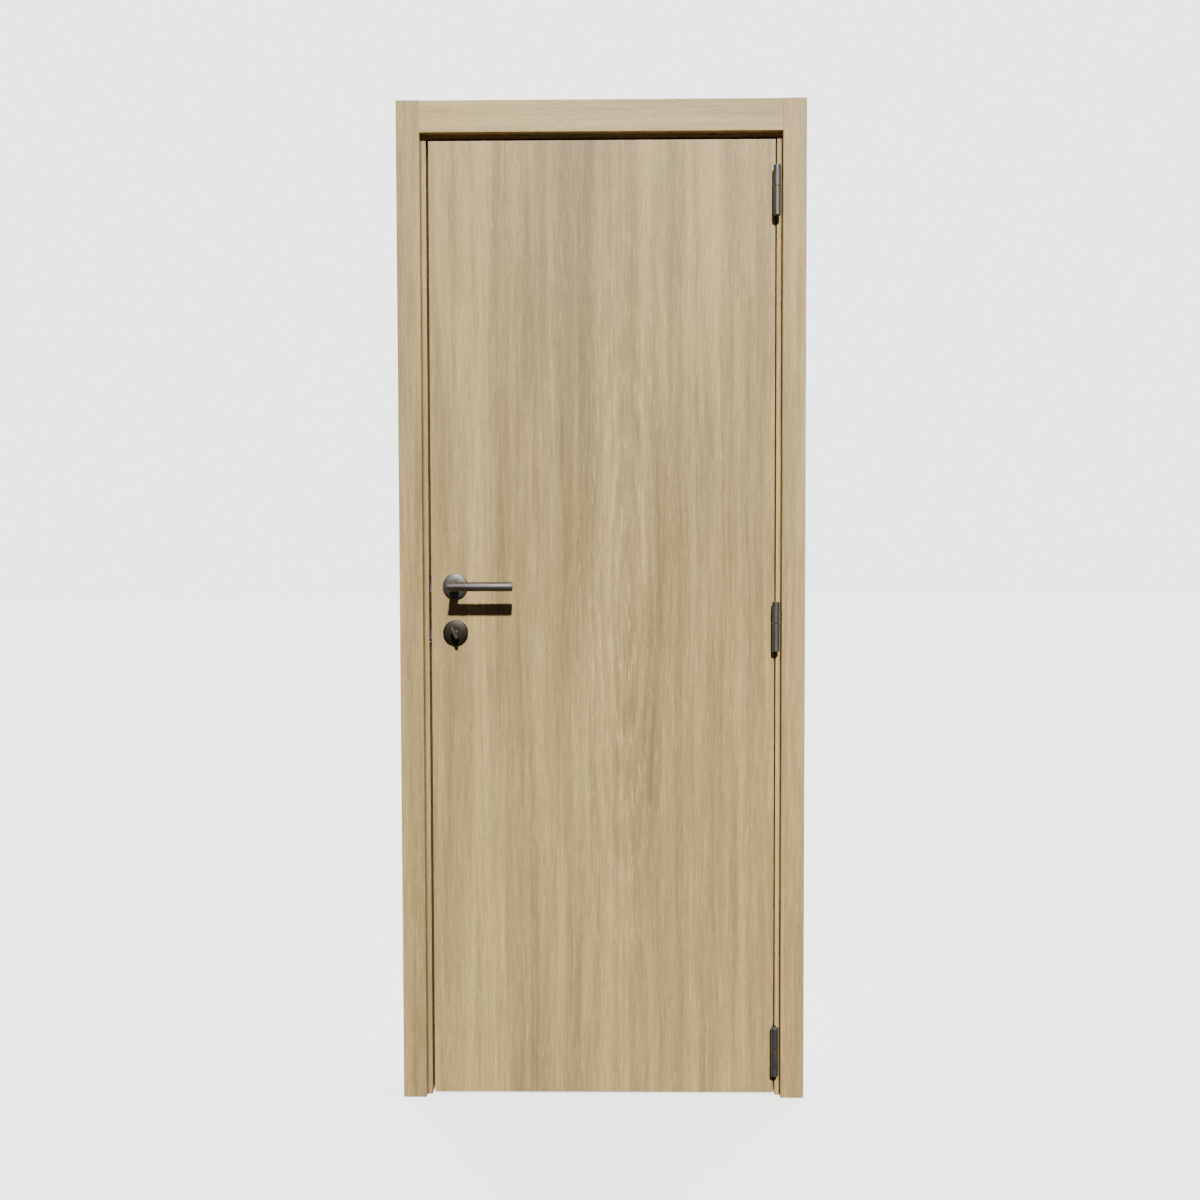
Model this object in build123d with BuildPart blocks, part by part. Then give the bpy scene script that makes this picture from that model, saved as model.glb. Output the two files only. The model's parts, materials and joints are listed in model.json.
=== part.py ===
# Interior door in millimetres: a flush laminate leaf hung in a lined frame on lift-off hinges.
# X runs to the right seen from the room that the leaf opens into, Y into the wall, Z up.
# The origin lies on the wall side of the hinge lining, at the floor, halfway through the wall.
from build123d import *
import os

os.makedirs("parts", exist_ok=True)

# Leaf
LEAF_WIDTH = 709
LEAF_HEIGHT = 1972
LEAF_THICKNESS = 40
SKIN_THICKNESS = 3
STILE_WIDTH = 35
RAIL_HEIGHT = 60
LEAF_ARRIS = 1

# Gaps round the leaf
HINGE_GAP = 3
LATCH_GAP = 5
HEAD_GAP = 5
UNDERCUT = 5

# Linings, stops and seals
LINING_THICKNESS = 25
LINING_DEPTH = 100
STOP_THICKNESS = 14
STOP_DEPTH = 45
STOP_GAP = 3
SEAL_WIDTH = 8
SEAL_CLEARANCE = 0.3

# Casings
CASING_WIDTH = 48
CASING_THICKNESS = 14
HEAD_CASING_HEIGHT = 65
CASING_ARRIS = 1.5
CASING_WALL_STRIP = 15
CASING_RELIEF_DEPTH = 2
FRONT_SIDE_REVEAL = 10.5
FRONT_HEAD_REVEAL = 7
BACK_REVEAL = 8

# Lift-off hinges
HINGE_HEIGHT = 102
HINGE_FROM_LEAF_TOP = 107
HINGE_FROM_LEAF_FOOT = 92
KNUCKLE_RADIUS = 7.5
KNUCKLE_CHAMFER = 1
UPPER_KNUCKLE_HEIGHT = 43
PIN_RADIUS = 4
PIN_LENGTH = 36
PIN_CLEARANCE = 0.05
AXIS_OUT = 12
WASHER_THICKNESS = 2
WASHER_INSET = 0.3
WASHER_PLAY = 0.1
FLAP_THICKNESS = 3
FLAP_DEPTH = 30
FLAP_CORNER = 6
NECK_OVERLAP = 3.5

# Lock
BACKSET = 50
HANDLE_HEIGHT = 1068
TURN_DROP = 96
CASE_DEPTH = 72
CASE_HEIGHT = 166
CASE_THICKNESS = 15
FACEPLATE_HEIGHT = 196
FACEPLATE_WIDTH = 18
FACEPLATE_THICKNESS = 3
FACEPLATE_CORNER = 8.8
BOLT_THICKNESS = 10
BOLT_HEIGHT = 22
BOLT_LENGTH = 32
STRIKE_HEIGHT = 160
STRIKE_WIDTH = 22
STRIKE_THICKNESS = 2
STRIKE_CORNER = 5
POCKET_CLEARANCE = 2
POCKET_DEPTH = 14

# Lever set and thumb turn
ROSE_RADIUS = 26
ROSE_THICKNESS = 8
LEVER_RADIUS = 9.5
LEVER_PROJECTION = 55
LEVER_REACH = 122.5
LEVER_EDGE = 0.6
LEVER_CLEARANCE = 0.3
NECK_OFF_LEAF = 1
LEVER_SPINDLE = 8
LEVER_SPINDLE_BITE = 30
TURN_SPINDLE = 6
SPINDLE_CLEARANCE = 0.5
BORE_SIDES = 12
TURN_PROJECTION = 29
TURN_LENGTH = 27
TURN_THICKNESS = 7
TURN_STEM_RADIUS = 7
TURN_STEM_LENGTH = 3
TURN_EDGE = 0.8
TURN_TILT = 26
RELEASE_RADIUS = 9
RELEASE_WALL = 1.5
RELEASE_SLOT_LENGTH = 9
RELEASE_SLOT_WIDTH = 2
RELEASE_SLOT_DEPTH = 2

# Places across the doorway, from the hinge side to the latch side
HINGE_LINING_FACE = -LINING_THICKNESS
LEAF_HINGE_EDGE = HINGE_LINING_FACE - HINGE_GAP
LEAF_LATCH_EDGE = LEAF_HINGE_EDGE - LEAF_WIDTH
LATCH_LINING_FACE = LEAF_LATCH_EDGE - LATCH_GAP
FRAME_LATCH_SIDE = LATCH_LINING_FACE - LINING_THICKNESS
HINGE_AXIS_X = HINGE_LINING_FACE - HINGE_GAP / 2
SPINDLE_X = LEAF_LATCH_EDGE + BACKSET

# Places through the wall, from front to back
FRAME_FRONT = -LINING_DEPTH / 2
FRAME_BACK = LINING_DEPTH / 2
LEAF_FRONT = FRAME_FRONT
LEAF_BACK = LEAF_FRONT + LEAF_THICKNESS
LEAF_MIDDLE = (LEAF_FRONT + LEAF_BACK) / 2
STOP_FRONT = LEAF_BACK + STOP_GAP
STOP_BACK = STOP_FRONT + STOP_DEPTH
HINGE_AXIS_Y = LEAF_FRONT - AXIS_OUT

# Heights
LEAF_BOTTOM = UNDERCUT
LEAF_TOP = LEAF_BOTTOM + LEAF_HEIGHT
HEAD_FACE = LEAF_TOP + HEAD_GAP
FRAME_TOP = HEAD_FACE + LINING_THICKNESS
TURN_HEIGHT = HANDLE_HEIGHT - TURN_DROP
LOCK_CENTRE = (HANDLE_HEIGHT + TURN_HEIGHT) / 2
BOTTOM_HINGE = LEAF_BOTTOM + HINGE_FROM_LEAF_FOOT
TOP_HINGE = LEAF_TOP - HINGE_FROM_LEAF_TOP
HINGE_CENTRES = {"bottom": BOTTOM_HINGE, "middle": (BOTTOM_HINGE + TOP_HINGE) / 2, "top": TOP_HINGE}


def save(piece, name):
    """Label a finished piece and write its file."""
    piece.part.label = name
    export_step(piece.part, f"parts/{name}.step")


def block(x_limits, y_limits, z_limits, mode=Mode.ADD):
    """Raise a rectangle to a square-edged block between three pairs of limits."""
    with BuildSketch(Plane.XY.offset(z_limits[0])) as outline:
        with Locations((sum(x_limits) / 2, sum(y_limits) / 2)):
            Rectangle(x_limits[1] - x_limits[0], y_limits[1] - y_limits[0])
    extrude(outline.sketch, amount=z_limits[1] - z_limits[0], mode=mode)


def flap_plate(low_x, centre_z, mode=Mode.ADD):
    """A hinge flap's plate, or the recess that takes it: square in front, rounded behind."""
    with BuildSketch(Plane.YZ.offset(low_x)) as outline:
        with Locations((LEAF_FRONT + FLAP_DEPTH / 2, centre_z)):
            Rectangle(FLAP_DEPTH, HINGE_HEIGHT)
        fillet(outline.vertices().group_by(Axis.X)[-1], FLAP_CORNER)
    extrude(outline.sketch, amount=FLAP_THICKNESS, mode=mode)


def lock_plate(low_x, thickness, width, height, corner, mode=Mode.ADD):
    """A rounded plate across the lock's centre line, or the recess that takes it."""
    with BuildSketch(Plane.YZ.offset(low_x)) as outline:
        with Locations((LEAF_MIDDLE, LOCK_CENTRE)):
            RectangleRounded(width, height, corner)
    extrude(outline.sketch, amount=thickness, mode=mode)


def bolt_holes(low_x, depth, clearance):
    """Cut the openings of the latch bolt and the dead bolt."""
    with BuildSketch(Plane.YZ.offset(low_x)) as openings:
        with Locations((LEAF_MIDDLE, HANDLE_HEIGHT), (LEAF_MIDDLE, TURN_HEIGHT)):
            Rectangle(BOLT_THICKNESS + 2 * clearance, BOLT_HEIGHT + 2 * clearance)
    extrude(openings.sketch, amount=depth, mode=Mode.SUBTRACT)


def spindle_holes(front_y, back_y):
    """Bore the hidden clearance holes of both square spindles, as many-sided holes."""
    for height, side in ((HANDLE_HEIGHT, LEVER_SPINDLE), (TURN_HEIGHT, TURN_SPINDLE)):
        with BuildSketch(Plane.XZ.offset(-back_y)) as hole:
            with Locations((SPINDLE_X, height)):
                RegularPolygon(side / 2**0.5 + SPINDLE_CLEARANCE, BORE_SIDES, major_radius=False)
        extrude(hole.sketch, amount=back_y - front_y, mode=Mode.SUBTRACT)


# Side linings, with the recesses of the hinge flaps and the strike plate
with BuildPart() as hinge_lining:
    block((HINGE_LINING_FACE, 0), (FRAME_FRONT, FRAME_BACK), (0, HEAD_FACE))
    for centre in HINGE_CENTRES.values():
        flap_plate(HINGE_LINING_FACE, centre, Mode.SUBTRACT)
save(hinge_lining, "hinge_lining")

with BuildPart() as latch_lining:
    block((FRAME_LATCH_SIDE, LATCH_LINING_FACE), (FRAME_FRONT, FRAME_BACK), (0, HEAD_FACE))
    strike_seat = LATCH_LINING_FACE - STRIKE_THICKNESS
    lock_plate(strike_seat, STRIKE_THICKNESS, STRIKE_WIDTH, STRIKE_HEIGHT, STRIKE_CORNER, Mode.SUBTRACT)
    bolt_holes(strike_seat - POCKET_DEPTH, POCKET_DEPTH, POCKET_CLEARANCE)
save(latch_lining, "latch_lining")

with BuildPart() as head_lining:
    block((FRAME_LATCH_SIDE, 0), (FRAME_FRONT, FRAME_BACK), (HEAD_FACE, FRAME_TOP))
save(head_lining, "head_lining")

with BuildPart() as strike_plate:
    lock_plate(strike_seat, STRIKE_THICKNESS, STRIKE_WIDTH, STRIKE_HEIGHT, STRIKE_CORNER)
    bolt_holes(strike_seat, STRIKE_THICKNESS, POCKET_CLEARANCE)
save(strike_plate, "strike_plate")

# Stops behind the leaf, and the seal strip on each
side_stops = {
    "hinge": (HINGE_LINING_FACE - STOP_THICKNESS, HINGE_LINING_FACE),
    "latch": (LATCH_LINING_FACE, LATCH_LINING_FACE + STOP_THICKNESS),
}
seal_limits = (LEAF_BACK + SEAL_CLEARANCE, STOP_FRONT)
for side, limits in side_stops.items():
    with BuildPart() as side_stop:
        block(limits, (STOP_FRONT, STOP_BACK), (0, HEAD_FACE))
    save(side_stop, f"{side}_stop")

    middle = sum(limits) / 2
    with BuildPart() as side_seal:
        block((middle - SEAL_WIDTH / 2, middle + SEAL_WIDTH / 2), seal_limits, (LEAF_BOTTOM, LEAF_TOP))
    save(side_seal, f"{side}_seal")

head_stop_ends = (side_stops["latch"][1], side_stops["hinge"][0])
with BuildPart() as head_stop:
    block(head_stop_ends, (STOP_FRONT, STOP_BACK), (HEAD_FACE - STOP_THICKNESS, HEAD_FACE))
save(head_stop, "head_stop")

with BuildPart() as head_seal:
    middle = HEAD_FACE - STOP_THICKNESS / 2
    block(head_stop_ends, seal_limits, (middle - SEAL_WIDTH / 2, middle + SEAL_WIDTH / 2))
save(head_seal, "head_seal")

# Casings: full-height sides with the head butted between them, on both faces of the wall
casing_faces = {
    "front": (FRAME_FRONT - CASING_THICKNESS, FRAME_FRONT, FRONT_SIDE_REVEAL, FRONT_HEAD_REVEAL),
    "back": (FRAME_BACK, FRAME_BACK + CASING_THICKNESS, BACK_REVEAL, BACK_REVEAL),
}
relief_faces = {
    "front": (FRAME_FRONT - CASING_RELIEF_DEPTH, FRAME_FRONT),
    "back": (FRAME_BACK, FRAME_BACK + CASING_RELIEF_DEPTH),
}
for face, (low_y, high_y, side_reveal, head_reveal) in casing_faces.items():
    inner_hinge = HINGE_LINING_FACE + side_reveal
    inner_latch = LATCH_LINING_FACE - side_reveal
    inner_head = HEAD_FACE + head_reveal
    casing_top = inner_head + HEAD_CASING_HEIGHT
    shown_face = Axis.Y if face == "back" else -Axis.Y
    casings = {
        "hinge": ((inner_hinge, inner_hinge + CASING_WIDTH), (0, casing_top), Axis.Z),
        "latch": ((inner_latch - CASING_WIDTH, inner_latch), (0, casing_top), Axis.Z),
        "head": ((inner_latch, inner_hinge), (inner_head, casing_top), Axis.X),
    }
    # The relief in each back leaves one strip on the lining and one on the wall
    reliefs = {
        "hinge": ((0, inner_hinge + CASING_WIDTH - CASING_WALL_STRIP), (0, casing_top)),
        "latch": ((inner_latch - CASING_WIDTH + CASING_WALL_STRIP, FRAME_LATCH_SIDE), (0, casing_top)),
        "head": ((inner_latch, inner_hinge), (FRAME_TOP, casing_top - CASING_WALL_STRIP)),
    }
    for place, (x_limits, z_limits, run) in casings.items():
        with BuildPart() as casing:
            block(x_limits, (low_y, high_y), z_limits)
            shown_edges = casing.faces().sort_by(shown_face)[-1].edges()
            fillet(shown_edges.filter_by(run), CASING_ARRIS)
            block(reliefs[place][0], relief_faces[face], reliefs[place][1], Mode.SUBTRACT)
        save(casing, f"{face}_{place}_casing")

# Leaf: two skins over stiles, rails and a core
for face, (low_y, high_y) in {
    "front": (LEAF_FRONT, LEAF_FRONT + SKIN_THICKNESS),
    "back": (LEAF_BACK - SKIN_THICKNESS, LEAF_BACK),
}.items():
    shown_face = Axis.Y if face == "back" else -Axis.Y
    with BuildPart() as skin:
        block((LEAF_LATCH_EDGE, LEAF_HINGE_EDGE), (low_y, high_y), (LEAF_BOTTOM, LEAF_TOP))
        fillet(skin.faces().sort_by(shown_face)[-1].edges(), LEAF_ARRIS)
        for centre in HINGE_CENTRES.values():
            flap_plate(LEAF_HINGE_EDGE - FLAP_THICKNESS, centre, Mode.SUBTRACT)
        spindle_holes(low_y, high_y)
    save(skin, f"{face}_skin")

frame_of_leaf = (LEAF_FRONT + SKIN_THICKNESS, LEAF_BACK - SKIN_THICKNESS)
hinge_stile_face = LEAF_HINGE_EDGE - STILE_WIDTH
latch_stile_face = LEAF_LATCH_EDGE + STILE_WIDTH
case_limits = (LEAF_LATCH_EDGE + FACEPLATE_THICKNESS, LEAF_LATCH_EDGE + CASE_DEPTH)
case_y_limits = (LEAF_MIDDLE - CASE_THICKNESS / 2, LEAF_MIDDLE + CASE_THICKNESS / 2)
case_z_limits = (LOCK_CENTRE - CASE_HEIGHT / 2, LOCK_CENTRE + CASE_HEIGHT / 2)

with BuildPart() as hinge_stile:
    block((hinge_stile_face, LEAF_HINGE_EDGE), frame_of_leaf, (LEAF_BOTTOM, LEAF_TOP))
    for centre in HINGE_CENTRES.values():
        flap_plate(LEAF_HINGE_EDGE - FLAP_THICKNESS, centre, Mode.SUBTRACT)
save(hinge_stile, "hinge_stile")

with BuildPart() as latch_stile:
    block((LEAF_LATCH_EDGE, latch_stile_face), frame_of_leaf, (LEAF_BOTTOM, LEAF_TOP))
    block(case_limits, case_y_limits, case_z_limits, Mode.SUBTRACT)
    lock_plate(
        LEAF_LATCH_EDGE,
        FACEPLATE_THICKNESS,
        FACEPLATE_WIDTH,
        FACEPLATE_HEIGHT,
        FACEPLATE_CORNER,
        Mode.SUBTRACT,
    )
save(latch_stile, "latch_stile")

rail_ends = (latch_stile_face, hinge_stile_face)
for place, z_limits in {
    "top": (LEAF_TOP - RAIL_HEIGHT, LEAF_TOP),
    "bottom": (LEAF_BOTTOM, LEAF_BOTTOM + RAIL_HEIGHT),
}.items():
    with BuildPart() as rail:
        block(rail_ends, frame_of_leaf, z_limits)
    save(rail, f"{place}_rail")

with BuildPart() as core:
    block(rail_ends, frame_of_leaf, (LEAF_BOTTOM + RAIL_HEIGHT, LEAF_TOP - RAIL_HEIGHT))
    block(case_limits, case_y_limits, case_z_limits, Mode.SUBTRACT)
    spindle_holes(*frame_of_leaf)
save(core, "core")

# Lock: case, faceplate and the two bolts drawn back flush with it
with BuildPart() as lock_case:
    block(case_limits, case_y_limits, case_z_limits)
    bolt_holes(case_limits[0], BOLT_LENGTH - FACEPLATE_THICKNESS, 0)
    spindle_holes(*case_y_limits)
save(lock_case, "lock_case")

with BuildPart() as lock_faceplate:
    lock_plate(
        LEAF_LATCH_EDGE,
        FACEPLATE_THICKNESS,
        FACEPLATE_WIDTH,
        FACEPLATE_HEIGHT,
        FACEPLATE_CORNER,
    )
    bolt_holes(LEAF_LATCH_EDGE, FACEPLATE_THICKNESS, 0)
save(lock_faceplate, "lock_faceplate")

for name, height in {"latch_bolt": HANDLE_HEIGHT, "dead_bolt": TURN_HEIGHT}.items():
    with BuildPart() as bolt:
        block(
            (LEAF_LATCH_EDGE, LEAF_LATCH_EDGE + BOLT_LENGTH),
            (LEAF_MIDDLE - BOLT_THICKNESS / 2, LEAF_MIDDLE + BOLT_THICKNESS / 2),
            (height - BOLT_HEIGHT / 2, height + BOLT_HEIGHT / 2),
        )
    save(bolt, name)

# Lift-off hinges: the leaf's knuckle drops over the pin that stands in the frame's knuckle
axis_plane = Plane((HINGE_AXIS_X, HINGE_AXIS_Y, 0))
neck_y = (HINGE_AXIS_Y + NECK_OVERLAP, LEAF_FRONT)
for place, centre in HINGE_CENTRES.items():
    hinge_bottom = centre - HINGE_HEIGHT / 2
    hinge_top = centre + HINGE_HEIGHT / 2
    upper_bottom = hinge_top - UPPER_KNUCKLE_HEIGHT
    washer_bottom = upper_bottom - WASHER_PLAY - WASHER_THICKNESS

    with BuildPart() as frame_hinge:
        with BuildSketch(axis_plane.offset(hinge_bottom)):
            Circle(KNUCKLE_RADIUS)
        extrude(amount=washer_bottom - hinge_bottom)
        chamfer(frame_hinge.faces().sort_by(Axis.Z)[0].edges(), KNUCKLE_CHAMFER)
        flap_plate(HINGE_LINING_FACE, centre)
        neck_x = (HINGE_LINING_FACE, HINGE_LINING_FACE + FLAP_THICKNESS)
        block(neck_x, neck_y, (hinge_bottom + KNUCKLE_CHAMFER, washer_bottom))
        with BuildSketch(axis_plane.offset(washer_bottom)):
            Circle(PIN_RADIUS)
        extrude(amount=PIN_LENGTH)
    save(frame_hinge, f"{place}_frame_hinge")

    with BuildPart() as leaf_hinge:
        with BuildSketch(axis_plane.offset(upper_bottom)):
            Circle(KNUCKLE_RADIUS)
        extrude(amount=UPPER_KNUCKLE_HEIGHT)
        chamfer(leaf_hinge.faces().sort_by(Axis.Z)[-1].edges(), KNUCKLE_CHAMFER)
        flap_plate(LEAF_HINGE_EDGE - FLAP_THICKNESS, centre)
        neck_x = (LEAF_HINGE_EDGE - FLAP_THICKNESS, LEAF_HINGE_EDGE)
        block(neck_x, neck_y, (upper_bottom, hinge_top - KNUCKLE_CHAMFER))
        with BuildSketch(axis_plane.offset(upper_bottom)):
            Circle(PIN_RADIUS + PIN_CLEARANCE)
        extrude(amount=PIN_LENGTH, mode=Mode.SUBTRACT)
    save(leaf_hinge, f"{place}_leaf_hinge")

with BuildPart() as hinge_washers:
    for centre in HINGE_CENTRES.values():
        washer_top = centre + HINGE_HEIGHT / 2 - UPPER_KNUCKLE_HEIGHT - WASHER_PLAY
        with BuildSketch(axis_plane.offset(washer_top - WASHER_THICKNESS)):
            Circle(KNUCKLE_RADIUS - WASHER_INSET)
            Circle(PIN_RADIUS + PIN_CLEARANCE, mode=Mode.SUBTRACT)
        extrude(amount=WASHER_THICKNESS)
save(hinge_washers, "hinge_washers")

# Lever set: each side is made on a plane that faces out of the leaf
outward = {
    "front": Plane((SPINDLE_X, LEAF_FRONT, 0), x_dir=(1, 0, 0), z_dir=(0, -1, 0)),
    "back": Plane((SPINDLE_X, LEAF_BACK, 0), x_dir=(-1, 0, 0), z_dir=(0, 1, 0)),
}
towards_hinges = {"front": 1, "back": -1}
rose_holes = {
    ("front", "lever_rose"): (HANDLE_HEIGHT, LEVER_RADIUS + LEVER_CLEARANCE),
    ("back", "lever_rose"): (HANDLE_HEIGHT, LEVER_RADIUS + LEVER_CLEARANCE),
    ("front", "turn_rose"): (TURN_HEIGHT, TURN_STEM_RADIUS + LEVER_CLEARANCE),
    ("back", "release_rose"): (TURN_HEIGHT, RELEASE_RADIUS + LEVER_CLEARANCE),
}
for (face, kind), (height, hole_radius) in rose_holes.items():
    with BuildPart() as rose:
        with BuildSketch(outward[face]):
            with Locations((0, height)):
                Circle(ROSE_RADIUS)
                Circle(hole_radius, mode=Mode.SUBTRACT)
        extrude(amount=ROSE_THICKNESS)
    save(rose, f"{face}_{kind}")

# Levers: a neck and a bar of one round section, mitred at the corner
for face, plane in outward.items():
    neck_plane = plane.offset(NECK_OFF_LEAF)
    with BuildPart() as lever:
        with BuildLine(plane):
            Polyline(
                (0, HANDLE_HEIGHT, NECK_OFF_LEAF),
                (0, HANDLE_HEIGHT, LEVER_PROJECTION),
                (towards_hinges[face] * LEVER_REACH, HANDLE_HEIGHT, LEVER_PROJECTION),
            )
        with BuildSketch(neck_plane):
            with Locations((0, HANDLE_HEIGHT)):
                Circle(LEVER_RADIUS)
        sweep(transition=Transition.RIGHT)
        chamfer(lever.faces().sort_by(Axis.X)[-1].edges(), LEVER_EDGE)
        with BuildSketch(neck_plane):
            with Locations((0, HANDLE_HEIGHT)):
                Rectangle(LEVER_SPINDLE, LEVER_SPINDLE)
        extrude(amount=LEVER_SPINDLE_BITE - NECK_OFF_LEAF, mode=Mode.SUBTRACT)
    save(lever, f"{face}_lever")

with BuildPart() as lever_spindle:
    with BuildSketch(outward["front"].offset(LEVER_SPINDLE_BITE)):
        with Locations((0, HANDLE_HEIGHT)):
            Rectangle(LEVER_SPINDLE, LEVER_SPINDLE)
    extrude(amount=-(LEAF_THICKNESS + 2 * LEVER_SPINDLE_BITE))
save(lever_spindle, "lever_spindle")

# Thumb turn in front, and the slotted emergency release behind, on one square spindle
with BuildPart() as thumb_turn:
    with BuildSketch(outward["front"].offset(NECK_OFF_LEAF)):
        with Locations((0, TURN_HEIGHT)):
            Circle(TURN_STEM_RADIUS)
    extrude(amount=ROSE_THICKNESS + TURN_STEM_LENGTH - NECK_OFF_LEAF)
    with BuildSketch(outward["front"].offset(ROSE_THICKNESS + TURN_STEM_LENGTH)):
        with Locations((0, TURN_HEIGHT)):
            SlotOverall(TURN_LENGTH, TURN_THICKNESS, rotation=90 + TURN_TILT)
    extrude(amount=TURN_PROJECTION - ROSE_THICKNESS - TURN_STEM_LENGTH)
    chamfer(thumb_turn.faces().sort_by(-Axis.Y)[-1].edges(), TURN_EDGE)
    with BuildSketch(outward["front"].offset(NECK_OFF_LEAF)):
        with Locations((0, TURN_HEIGHT)):
            Rectangle(TURN_SPINDLE, TURN_SPINDLE)
    extrude(amount=ROSE_THICKNESS - NECK_OFF_LEAF, mode=Mode.SUBTRACT)
save(thumb_turn, "thumb_turn")

release_seat = ROSE_THICKNESS - RELEASE_SLOT_DEPTH - RELEASE_WALL
with BuildPart() as release_disc:
    with BuildSketch(outward["back"].offset(NECK_OFF_LEAF)):
        with Locations((0, TURN_HEIGHT)):
            Circle(RELEASE_RADIUS)
            Rectangle(TURN_SPINDLE, TURN_SPINDLE, mode=Mode.SUBTRACT)
    extrude(amount=release_seat - NECK_OFF_LEAF)
    with BuildSketch(outward["back"].offset(release_seat)):
        with Locations((0, TURN_HEIGHT)):
            Circle(RELEASE_RADIUS)
    extrude(amount=ROSE_THICKNESS - release_seat)
    with BuildSketch(outward["back"].offset(ROSE_THICKNESS)):
        with Locations((0, TURN_HEIGHT)):
            SlotOverall(RELEASE_SLOT_LENGTH, RELEASE_SLOT_WIDTH, rotation=90 - TURN_TILT)
    extrude(amount=-RELEASE_SLOT_DEPTH, mode=Mode.SUBTRACT)
save(release_disc, "release_disc")

with BuildPart() as turn_spindle:
    with BuildSketch(outward["front"].offset(ROSE_THICKNESS)):
        with Locations((0, TURN_HEIGHT)):
            Rectangle(TURN_SPINDLE, TURN_SPINDLE)
    extrude(amount=-(ROSE_THICKNESS + LEAF_THICKNESS + release_seat))
save(turn_spindle, "turn_spindle")
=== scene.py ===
import json
import math

import bpy
from mathutils import Matrix, Vector


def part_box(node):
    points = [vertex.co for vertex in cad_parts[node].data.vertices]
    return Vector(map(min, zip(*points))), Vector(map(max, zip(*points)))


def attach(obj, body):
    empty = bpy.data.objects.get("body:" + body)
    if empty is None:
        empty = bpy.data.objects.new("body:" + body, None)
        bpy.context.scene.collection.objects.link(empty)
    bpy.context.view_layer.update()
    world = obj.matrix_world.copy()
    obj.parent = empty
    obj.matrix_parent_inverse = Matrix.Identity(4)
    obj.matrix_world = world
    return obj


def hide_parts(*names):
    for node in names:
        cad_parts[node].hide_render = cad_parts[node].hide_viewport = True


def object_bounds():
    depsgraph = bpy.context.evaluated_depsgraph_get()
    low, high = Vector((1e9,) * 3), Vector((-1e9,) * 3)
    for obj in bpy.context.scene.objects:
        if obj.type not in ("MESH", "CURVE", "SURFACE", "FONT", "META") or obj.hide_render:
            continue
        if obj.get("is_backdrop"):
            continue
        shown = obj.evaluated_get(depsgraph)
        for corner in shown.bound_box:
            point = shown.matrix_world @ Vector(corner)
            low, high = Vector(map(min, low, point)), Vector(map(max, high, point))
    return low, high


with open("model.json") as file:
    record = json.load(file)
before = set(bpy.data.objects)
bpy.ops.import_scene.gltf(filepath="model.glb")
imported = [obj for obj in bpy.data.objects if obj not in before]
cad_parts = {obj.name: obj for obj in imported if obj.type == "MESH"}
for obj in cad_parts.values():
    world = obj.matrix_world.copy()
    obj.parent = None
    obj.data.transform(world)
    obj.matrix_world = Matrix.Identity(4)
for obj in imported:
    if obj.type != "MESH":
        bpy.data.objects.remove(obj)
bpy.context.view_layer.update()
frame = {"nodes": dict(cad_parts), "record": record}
nodes = frame["nodes"]

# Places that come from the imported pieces
front_rose_low, front_rose_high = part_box("front_lever_rose")
turn_rose_low, turn_rose_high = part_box("front_turn_rose")
skin_low, skin_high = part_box("front_skin")
lining_low, lining_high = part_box("head_lining")
casing_low, casing_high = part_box("front_hinge_casing")
lever_low, lever_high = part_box("front_lever")
SPINDLE_X = (front_rose_low.x + front_rose_high.x) / 2
HANDLE_Z = (front_rose_low.z + front_rose_high.z) / 2
TURN_Z = (turn_rose_low.z + turn_rose_high.z) / 2
LEAF_FRONT = skin_low.y
LEAF_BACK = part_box("back_skin")[1].y
LEAF_MIDDLE = (LEAF_FRONT + LEAF_BACK) / 2
LEAF_HINGE_EDGE = skin_high.x
LEAF_LATCH_EDGE = skin_low.x
latch_casing_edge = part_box("front_latch_casing")[1].x
OPENING_MIDDLE = (casing_low.x + latch_casing_edge) / 2
OPENING_HALF = (casing_low.x - latch_casing_edge) / 2

# Sizes of the lever set
ROSE_RADIUS = (front_rose_high.x - front_rose_low.x) / 2
ROSE_THICKNESS = front_rose_high.y - front_rose_low.y
LEVER_RADIUS = (lever_high.z - lever_low.z) / 2
LEVER_AXIS_OUT = LEAF_FRONT - lever_low.y - LEVER_RADIUS
LEVER_REACH = lever_high.x - SPINDLE_X
NECK_OFF_LEAF = 0.001
NECK_CLEARANCE = 0.0003
ROSE_LIP = 0.0006
ROSE_DOME = 0.0030
ROSE_RINGS = 10
ROSE_RIM = 0.0014
ROSE_HOLE_DEPTH = 0.0068
ROSE_HOLE_EDGE = 0.0003
ROSE_SIDES = 128
FOOT_LIP = 0.0006
FOOT_HOLLOW = 0.0008
MITRE_EDGE = 0.00035
LEVER_END_EDGE = 0.0009
LEVER_SIDES = 96

# Sizes of the grub screws
GRUB_OUT = 0.020
GRUB_RADIUS = 0.00255
GRUB_HOLE_RADIUS = 0.0027
GRUB_HOLE_DEPTH = 0.003
GRUB_KEY_RADIUS = 0.00145
GRUB_KEY_DEPTH = 0.0016
GRUB_LENGTH = 0.004
GRUB_EDGE = 0.0003
GRUB_SET_BACK = 0.0008
GRUB_SIDES = 32
GRUB_KEY_SIDES = 6

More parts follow.
